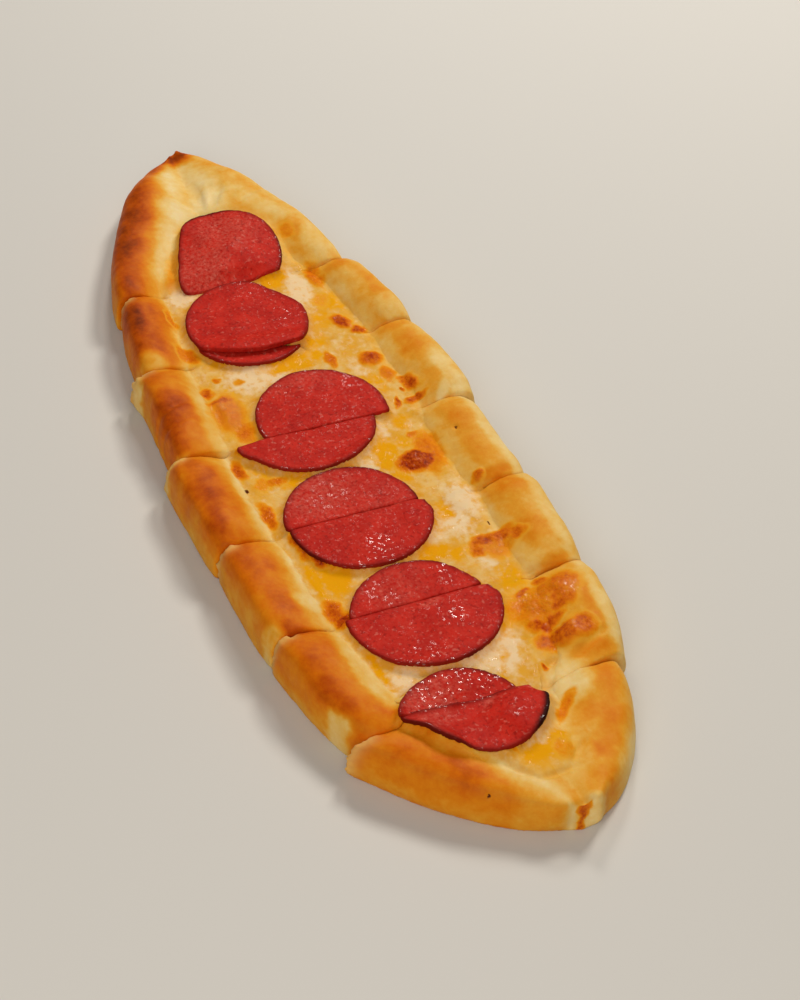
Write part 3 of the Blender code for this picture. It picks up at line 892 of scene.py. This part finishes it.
# %% Shape the sheet
graph = bpy.context.evaluated_depsgraph_get()
crust_trees = [BVHTree.FromObject(piece, graph) for piece in crusts.values()]
CHEESE_CELL = 0.6 * MM
CLIMB = 5.0 * MM              # how far the sheet runs past the edge of the trough
FILM = 0.25 * MM
FILLET = 1.6 * MM             # how softly the sheet turns up into its climb
CHEESE_DEPTH = 5.0 * MM


def dough_below(x, y):
    """Height of the dough here; two feelers reach over the gap that the knife left."""
    heights = [0.0]
    for feeler in (x - 0.5 * MM, x + 0.5 * MM):
        for tree in crust_trees:
            hit = tree.ray_cast(Vector((feeler, y, 0.06)), -UP)[0]
            if hit is not None:
                heights.append(hit.z)
                break
    return max(heights)


def cheese_level(stations):
    """The plain filling's level along the pide."""
    tops = []
    for station in stations:
        near = cheese_corners[abs(cheese_corners[:, 0] - station) < 8.0 * MM]
        tops.append(np.median(near[near[:, 2] > near[:, 2].max() - 2.0 * MM, 2]) if len(near) else np.nan)
    tops = np.array(tops)
    known = ~np.isnan(tops)
    return np.interp(stations, stations[known], tops[known])


LEVEL = soften(cheese_level(STATIONS), 4)


def sheet_ends(number):
    low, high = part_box(f"cheese_filling_{number}")
    far = CUTS[number - 2] if number > 1 else (low[0], 0.0)
    near = CUTS[number - 1] if number < 7 else (high[0] + 9.0 * MM, 0.0)
    return far, near


def lay_cheese(number):
    far, near = sheet_ends(number)
    columns = round((near[0] - far[0]) / CHEESE_CELL)
    bpy.ops.mesh.primitive_grid_add(x_subdivisions=columns, y_subdivisions=150, size=2.0)
    piece = bpy.context.object
    piece.name = f"cheese_{number}"
    grid = points_of(piece)
    points = grid.copy()
    points[:, 0] = far[0] + (near[0] - far[0]) * (grid[:, 0] + 1.0) / 2.0
    reach_up = np.interp(points[:, 0], STATIONS, TROUGH[1]) + CLIMB
    reach_down = np.interp(points[:, 0], STATIONS, TROUGH[-1]) + CLIMB
    points[:, 1] = -reach_down + (reach_up + reach_down) * (grid[:, 1] + 1.0) / 2.0
    lean = far[1] + (near[1] - far[1]) * (grid[:, 0] + 1.0) / 2.0
    points[:, 0] += lean * points[:, 1]
    points[:, 2] = 0.0

    level = np.interp(points[:, 0], STATIONS, LEVEL)
    dough = np.array([dough_below(x, y) for x, y, _ in points])
    points[:, 2] = np.maximum(level, dough)
    baked = bake(points)
    place, blister, pool = across(points), baked["blister"], strongest(points, POOLS, 0.9)
    lumps = 0.50 * grain(points, 11.0 * MM, 1.0) + 0.16 * grain(points, 4.0 * MM, 2.0)
    lumps += 0.05 * grain(points, 1.6 * MM, 6.0)
    relief = lumps * (1.0 - 0.6 * pool) + 0.4 * strongest(points, FRESH, 0.6) - 0.2 * pool
    relief += blister * (0.3 + 0.6 * np.abs(grain(points, 2.2 * MM, 7.0, 3)))
    relief = relief * MM + heaped(wander(points), HEAPS) * ease((place - 0.9) / 0.2)
    inside = ease((place - 0.86 - 0.04 * grain(points, 8.0 * MM, 9.0)) / 0.24) * before_tip(points)
    inside *= 1.0 - strongest(points, BARE, 0.5) * (place < 1.25)
    flat, climbing = level + relief, dough + FILM + 0.15 * relief
    fillet = 0.5 * FILLET * np.exp(-abs(flat - climbing) / FILLET)
    sheet = np.maximum(flat, climbing) + fillet
    points[:, 2] = inside * sheet + (1.0 - inside) * (dough - 0.5 * MM)
    points[:, 2], near_round = nestle(points)
    move_points(piece, points)

    select_only(piece)
    bpy.ops.object.mode_set(mode="EDIT")
    bpy.ops.mesh.select_all(action="SELECT")
    bpy.ops.mesh.extrude_region_move(TRANSFORM_OT_translate={"value": (0.0, 0.0, -CHEESE_DEPTH)})
    bpy.ops.mesh.select_all(action="SELECT")
    bpy.ops.mesh.normals_make_consistent(inside=False)
    bpy.ops.object.mode_set(mode="OBJECT")
    for name, values in (*baked.items(), ("near_round", near_round)):
        paint(piece, name, np.concatenate((values, values)))
    return piece


cheeses = {number: lay_cheese(number) for number in SLICES}
print("cheese, mm above the table:", [round(float(value), 1) for value in (LEVEL / MM)[::25]])

# %% [markdown]
# ## Finishes
#
# Each finish is built from nodes. Colours are written as hex values, and
# turned into the linear values that the shader works with. The patterns are sized in millimetres.

# %% A node, its settings and its links
def linear(code):
    channels = [int(code[start:start + 2], 16) / 255.0 for start in (1, 3, 5)]
    return (*[c / 12.92 if c <= 0.04045 else ((c + 0.055) / 1.055) ** 2.4 for c in channels], 1.0)


def add(tree, kind, inputs=(), stops=(), **settings):
    """Add a node with its settings. Its inputs take values, or links from other nodes' sockets."""
    made = tree.nodes.new(f"ShaderNode{kind}")
    for name, value in settings.items():
        setattr(made, name, value)
    for name, value in dict(inputs).items():
        if isinstance(value, bpy.types.NodeSocket):
            tree.links.new(value, made.inputs[name])
        else:
            made.inputs[name].default_value = linear(value) if isinstance(value, str) else value
    for index, (position, code) in enumerate(stops):
        ramp = made.color_ramp.elements
        stop = ramp[index] if index < 2 else ramp.new(position)
        stop.position, stop.color = position, linear(code)
    return made


def new_finish(name, **sockets):
    """A material with one shader, and the sockets every pattern starts from."""
    material = bpy.data.materials.new(name)
    material.use_nodes = True
    tree = material.node_tree
    shader = tree.nodes["Principled BSDF"]
    for socket, value in sockets.items():
        shader.inputs[socket.replace("_", " ")].default_value = value
    places = add(tree, "TexCoord").outputs["Object"]
    return material, tree, shader, places


def speckle(tree, places, size, depth=3.0):
    """Noise with lumps of the given size in millimetres."""
    inputs = {"Vector": places, "Scale": 1.0 / (size * MM), "Detail": depth, "Roughness": 0.6}
    return add(tree, "TexNoise", inputs).outputs["Fac"]


def painted(tree, name):
    return add(tree, "Attribute", attribute_name=name).outputs["Fac"]


def reckon(tree, operation, *values, clamp=False):
    return add(tree, "Math", enumerate(values), operation=operation, use_clamp=clamp).outputs[0]


def between(tree, value, low, high, start=0.0, end=1.0):
    inputs = {"Value": value, "From Min": low, "From Max": high, "To Min": start, "To Max": end}
    return add(tree, "MapRange", inputs).outputs[0]


def mixed(tree, amount, first, second, blend="MIX"):
    inputs = {0: amount, 6: first, 7: second}
    return add(tree, "Mix", inputs, data_type="RGBA", blend_type=blend).outputs[2]


def raised(tree, height, distance, under=None, strength=1.0):
    inputs = {"Height": height, "Distance": distance * MM, "Strength": strength}
    if under is not None:
        inputs["Normal"] = under
    return add(tree, "Bump", inputs).outputs["Normal"]


# %% [markdown]
# ### Dough, cheese and what toasted them
#
# Cheese runs up the dough in a thin film, so there is no line where one ends. Both are therefore
# painted by the same three layers: dough by its browning and painted shade, cheese over it where it
# covers, and over both the toasted flecks, which go from gold through orange and red brown to nearly black.

# %% The colour of dough
def dough_colour(tree, places):
    """From pale crumb through gold to orange brown, as the browning and the painted shade rise."""
    broad = reckon(tree, "MULTIPLY_ADD", speckle(tree, places, 9.0), 0.24, -0.12)
    fine = reckon(tree, "MULTIPLY_ADD", speckle(tree, places, 2.2, 5.0), 0.22, -0.11)
    heat = reckon(tree, "ADD", painted(tree, "browning_and_shade"), reckon(tree, "ADD", broad, fine))
    colour = add(tree, "ValToRGB", {"Fac": heat}, (
        (0.0, "#f0d69c"), (1.0, "#782a00"), (0.12, "#edca80"), (0.26, "#e9b758"),
        (0.40, "#e69e2c"), (0.54, "#e08510"), (0.68, "#d66c02"), (0.84, "#b84c00"),
    )).outputs["Color"]
    return mixed(tree, reckon(tree, "MULTIPLY", painted(tree, "crumb"), 0.75), colour, "#e6b567")


# %% The colour of cheese
def cheese_colour(tree, places):
    """Gold where it is thin, white where it is thick and fresh, deep yellow where fat ran."""
    patches = between(tree, speckle(tree, places, 8.0), 0.40, 0.60)
    colour = mixed(tree, patches, "#e8bd6e", "#e2a63a")
    mottle = between(tree, speckle(tree, places, 3.0), 0.50, 0.68, 0.0, 0.5)
    colour = mixed(tree, mottle, colour, "#dc9420")
    ragged = reckon(tree, "MULTIPLY_ADD", speckle(tree, places, 3.4, 3.6), 2.0, -1.0)
    white = between(tree, reckon(tree, "ADD", painted(tree, "fresh"), ragged), 0.08, 0.80)
    colour = mixed(tree, white, colour, "#f0d0a0")
    yellow = between(tree, reckon(tree, "SUBTRACT", painted(tree, "fat"), ragged), 0.04, 0.80)
    colour = mixed(tree, yellow, colour, "#eaa200")
    return mixed(tree, reckon(tree, "MULTIPLY", painted(tree, "near_round"), 0.42), colour, "#d0641a")


# %% Toasted flecks over both
def baked_colour(tree, places):
    covered = between(tree, painted(tree, "cover"), 0.0, 1.0)
    colour = mixed(tree, covered, dough_colour(tree, places), cheese_colour(tree, places))
    mask = painted(tree, "blister")
    coarse = reckon(tree, "MULTIPLY_ADD", speckle(tree, places, 3.0), 0.7, -0.35)
    fine = reckon(tree, "MULTIPLY_ADD", speckle(tree, places, 1.3), 0.8, -0.4)
    heat = reckon(tree, "MULTIPLY_ADD", reckon(tree, "ADD", coarse, fine), mask, mask)
    heat = reckon(tree, "MULTIPLY", heat, 0.8)
    scorch = add(tree, "ValToRGB", {"Fac": heat}, (
        (0.12, "#ecac30"), (1.0, "#681200"), (0.34, "#e8900c"), (0.56, "#dd7204"), (0.80, "#b23c00"),
    )).outputs["Color"]
    colour = mixed(tree, between(tree, heat, 0.04, 0.26), colour, scorch)
    return mixed(tree, between(tree, painted(tree, "speck"), 0.3, 0.7), colour, "#5a2408")


# %% Where it is wet with fat
def wetness(tree, places):
    """Weight of the clear coat: a thin uneven film, more on toasted flecks, most where fat stands."""
    film = between(tree, speckle(tree, places, 3.0), 0.56, 0.64, 0.0, 0.10)
    film = reckon(tree, "MULTIPLY", film, painted(tree, "cover"))
    toasted = reckon(tree, "MULTIPLY", painted(tree, "blister"), 0.07)
    beads = between(tree, speckle(tree, places, 1.4), 0.55, 0.60)
    standing = reckon(tree, "MULTIPLY", painted(tree, "glint"), beads)
    return reckon(tree, "MAXIMUM", film, reckon(tree, "MAXIMUM", toasted, standing))


def raggedness(tree):
    """Toasted flecks are bubbly, and so is the cheese where fat stands."""
    return reckon(tree, "MAXIMUM", painted(tree, "blister"), painted(tree, "glint"))


# %% [markdown]
# ### Crust
#
# Crust has a satin skin with fine pores. Light goes a little way into it, which softens its edges.

# %% Crust
def crust_finish():
    material, tree, shader, places = new_finish(
        "baked_crust", Subsurface_Weight=0.12, Subsurface_Scale=2.0 * MM,
        Specular_IOR_Level=0.08, Coat_Roughness=0.14)
    shader.inputs["Subsurface Radius"].default_value = (1.0, 0.4, 0.1)
    tree.links.new(baked_colour(tree, places), shader.inputs["Base Color"])
    gloss = between(tree, speckle(tree, places, 5.0), 0.3, 0.7, 0.46, 0.60)
    tree.links.new(gloss, shader.inputs["Roughness"])
    tree.links.new(wetness(tree, places), shader.inputs["Coat Weight"])
    pores = raised(tree, speckle(tree, places, 1.1), 0.10)
    skin = raised(tree, speckle(tree, places, 0.4), 0.03, pores)
    bubbles = raised(tree, speckle(tree, places, 1.2), 0.40, skin, raggedness(tree))
    tree.links.new(bubbles, shader.inputs["Normal"])
    tree.links.new(bubbles, shader.inputs["Coat Normal"])
    return material


# %% [markdown]
# ### Cheese
#
# Melted cheese is smooth, light and a little clear, and its fat makes it shine.

# %% Cheese
def cheese_finish():
    material, tree, shader, places = new_finish(
        "melted_cheese", Subsurface_Weight=0.14, Subsurface_Scale=2.5 * MM, Roughness=0.66,
        Specular_IOR_Level=0.04, Coat_Roughness=0.10, Coat_IOR=1.6)
    shader.inputs["Subsurface Radius"].default_value = (1.0, 0.6, 0.2)
    tree.links.new(baked_colour(tree, places), shader.inputs["Base Color"])
    tree.links.new(wetness(tree, places), shader.inputs["Coat Weight"])
    lumps = raised(tree, speckle(tree, places, 2.4), 0.22)
    bubbles = raised(tree, speckle(tree, places, 1.2), 0.40, lumps, raggedness(tree))
    tree.links.new(bubbles, shader.inputs["Normal"])
    tree.links.new(bubbles, shader.inputs["Coat Normal"])
    return material


# %% [markdown]
# ### Sausage
#
# The meat is ground fine: red, with small paler bits of fat and darker ones of spice. Towards the
# skin it dries and darkens. Melted fat stands on it in beads, which shine as many small points.
# Some of the paler meat, on rounds 3a and 4a, is a painted sheen, and part of the dark skin edge is a painted
# shadow line.

# %% Sausage
def sausage_finish():
    material, tree, shader, places = new_finish(
        "cooked_sausage", Subsurface_Weight=0.08, Subsurface_Scale=1.5 * MM, Roughness=0.55,
        Specular_IOR_Level=0.05, Coat_Roughness=0.12, Coat_IOR=1.8)
    shader.inputs["Subsurface Radius"].default_value = (1.0, 0.25, 0.15)
    patches = between(tree, speckle(tree, places, 9.0), 0.35, 0.65)
    colour = mixed(tree, patches, "#cb2416", "#b4150c")
    meat = between(tree, speckle(tree, places, 1.3, 2.0), 0.32, 0.72)
    # paler meat, and on rounds 3a and 4a a painted sheen
    paleness = between(tree, painted(tree, "fatty_and_sheen"), 0.0, 1.0, 0.12, 0.60)
    colour = mixed(tree, reckon(tree, "MULTIPLY", meat, paleness), colour, "#dc6c5a")
    fat = between(tree, speckle(tree, places, 1.9, 1.0), 0.62, 0.72)
    colour = mixed(tree, reckon(tree, "MULTIPLY", fat, 0.28), colour, "#e58a78")
    spice = between(tree, speckle(tree, places, 1.4, 2.0), 0.54, 0.70)
    colour = mixed(tree, reckon(tree, "MULTIPLY", spice, 0.5), colour, "#7a0c06")
    colour = mixed(tree, reckon(tree, "MULTIPLY", painted(tree, "skin"), 0.85), colour, "#74100a")
    colour = mixed(tree, reckon(tree, "MULTIPLY", painted(tree, "rind"), 0.8), colour, "#8c1f0c")
    colour = mixed(tree, reckon(tree, "MULTIPLY", painted(tree, "cut"), 0.3), colour, "#7a0d0a")
    # dark skin edge: char, and in places a painted shadow line
    colour = mixed(tree, painted(tree, "char_and_edge_shade"), colour, "#2c0805")
    tree.links.new(colour, shader.inputs["Base Color"])
    from_drop = add(tree, "TexVoronoi", {"Vector": places, "Scale": 1.0 / (1.9 * MM)}).outputs["Distance"]
    dome = reckon(tree, "MULTIPLY_ADD", reckon(tree, "MULTIPLY", from_drop, from_drop), -5.0, 1.0, clamp=True)
    beaded = between(tree, painted(tree, "beads"), 0.25, 1.0, 0.04, 1.0)
    beaded = reckon(tree, "MULTIPLY", beaded, between(tree, speckle(tree, places, 2.6), 0.42, 0.58))
    wet = reckon(tree, "MULTIPLY", beaded, between(tree, dome, 0.0, 0.3))
    tree.links.new(wet, shader.inputs["Coat Weight"])
    grains = raised(tree, speckle(tree, places, 1.0), 0.12)
    beads = raised(tree, dome, 0.16, grains, beaded)
    tree.links.new(beads, shader.inputs["Normal"])
    tree.links.new(beads, shader.inputs["Coat Normal"])
    return material


# %% Give every piece its finish, hang it from the root, and hide the plain part it takes the place of
finishes = {"crust": crust_finish(), "filling": cheese_finish(), "sausage": sausage_finish()}


def hand_over(piece, node, slot):
    piece.data.materials.append(finishes[slot])
    select_only(piece)
    bpy.ops.object.shade_smooth_by_angle(angle=math.radians(70.0))
    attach(piece, "root")
    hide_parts(node)


for number in SLICES:
    hand_over(crusts[number], f"crust_slice_{number}", "crust")
    hand_over(cheeses[number], f"cheese_filling_{number}", "filling")
for label in ROUNDS:
    hand_over(sausages[label], f"sausage_{label}", "sausage")

# %% [markdown]
# ## Floor, light and camera
#
# The pide lies on a plain pale floor. The main light is a large soft one behind it and to its +Y
# side, which shows the relief; a wide weak one fills the shadows from the camera's side.

# %% Floor
bpy.ops.object.select_all(action="DESELECT")
bpy.ops.mesh.primitive_plane_add(size=6.0, location=(0.0, 0.0, cad_low.z))
floor = bpy.context.object
floor.name = "floor"
floor_finish, floor_tree, floor_shader, _ = new_finish("pale_floor", Roughness=0.8)
floor_shader.inputs["Base Color"].default_value = linear("#d6d3ce")
floor.data.materials.append(floor_finish)

# %% Lights
def add_light(name, place, size, power, tint):
    lamp = bpy.data.lights.new(name, "AREA")
    lamp.shape, lamp.size, lamp.energy, lamp.color = "DISK", size, power, tint
    light = bpy.data.objects.new(name, lamp)
    light.location = place
    light.rotation_euler = (-Vector(place)).to_track_quat("-Z", "Y").to_euler()
    bpy.context.scene.collection.objects.link(light)


add_light("main_light", (-0.55, 0.85, 1.10), 0.35, 11.0, (1.0, 0.95, 0.86))
add_light("fill_light", (0.75, -0.50, 0.70), 0.80, 5.6, (1.0, 0.94, 0.85))
add_light("glint_light", (-0.85, 0.42, 0.90), 0.25, 4.0, (1.0, 0.96, 0.90))
world = bpy.data.worlds.new("studio")
world.use_nodes = True
world.node_tree.nodes["Background"].inputs["Color"].default_value = (1.0, 0.98, 0.95, 1.0)
world.node_tree.nodes["Background"].inputs["Strength"].default_value = 0.14
bpy.context.scene.world = world

# %% Camera
camera_place = Vector((0.5655, -0.2300, 0.5550))
camera_aim = Vector((0.0484, 0.0112, 0.0140))
CAMERA_ROLL = math.radians(1.4545)
view = bpy.data.cameras.new("camera")
view.lens, view.sensor_width = 75.13, 36.0
camera = bpy.data.objects.new("camera", view)
camera.location = camera_place
level_view = (camera_aim - camera_place).to_track_quat("-Z", "Y")
camera.rotation_euler = (level_view @ Quaternion((0.0, 0.0, 1.0), CAMERA_ROLL)).to_euler()
bpy.context.scene.collection.objects.link(camera)
bpy.context.scene.camera = camera
bpy.context.scene.view_settings.view_transform = "Standard"
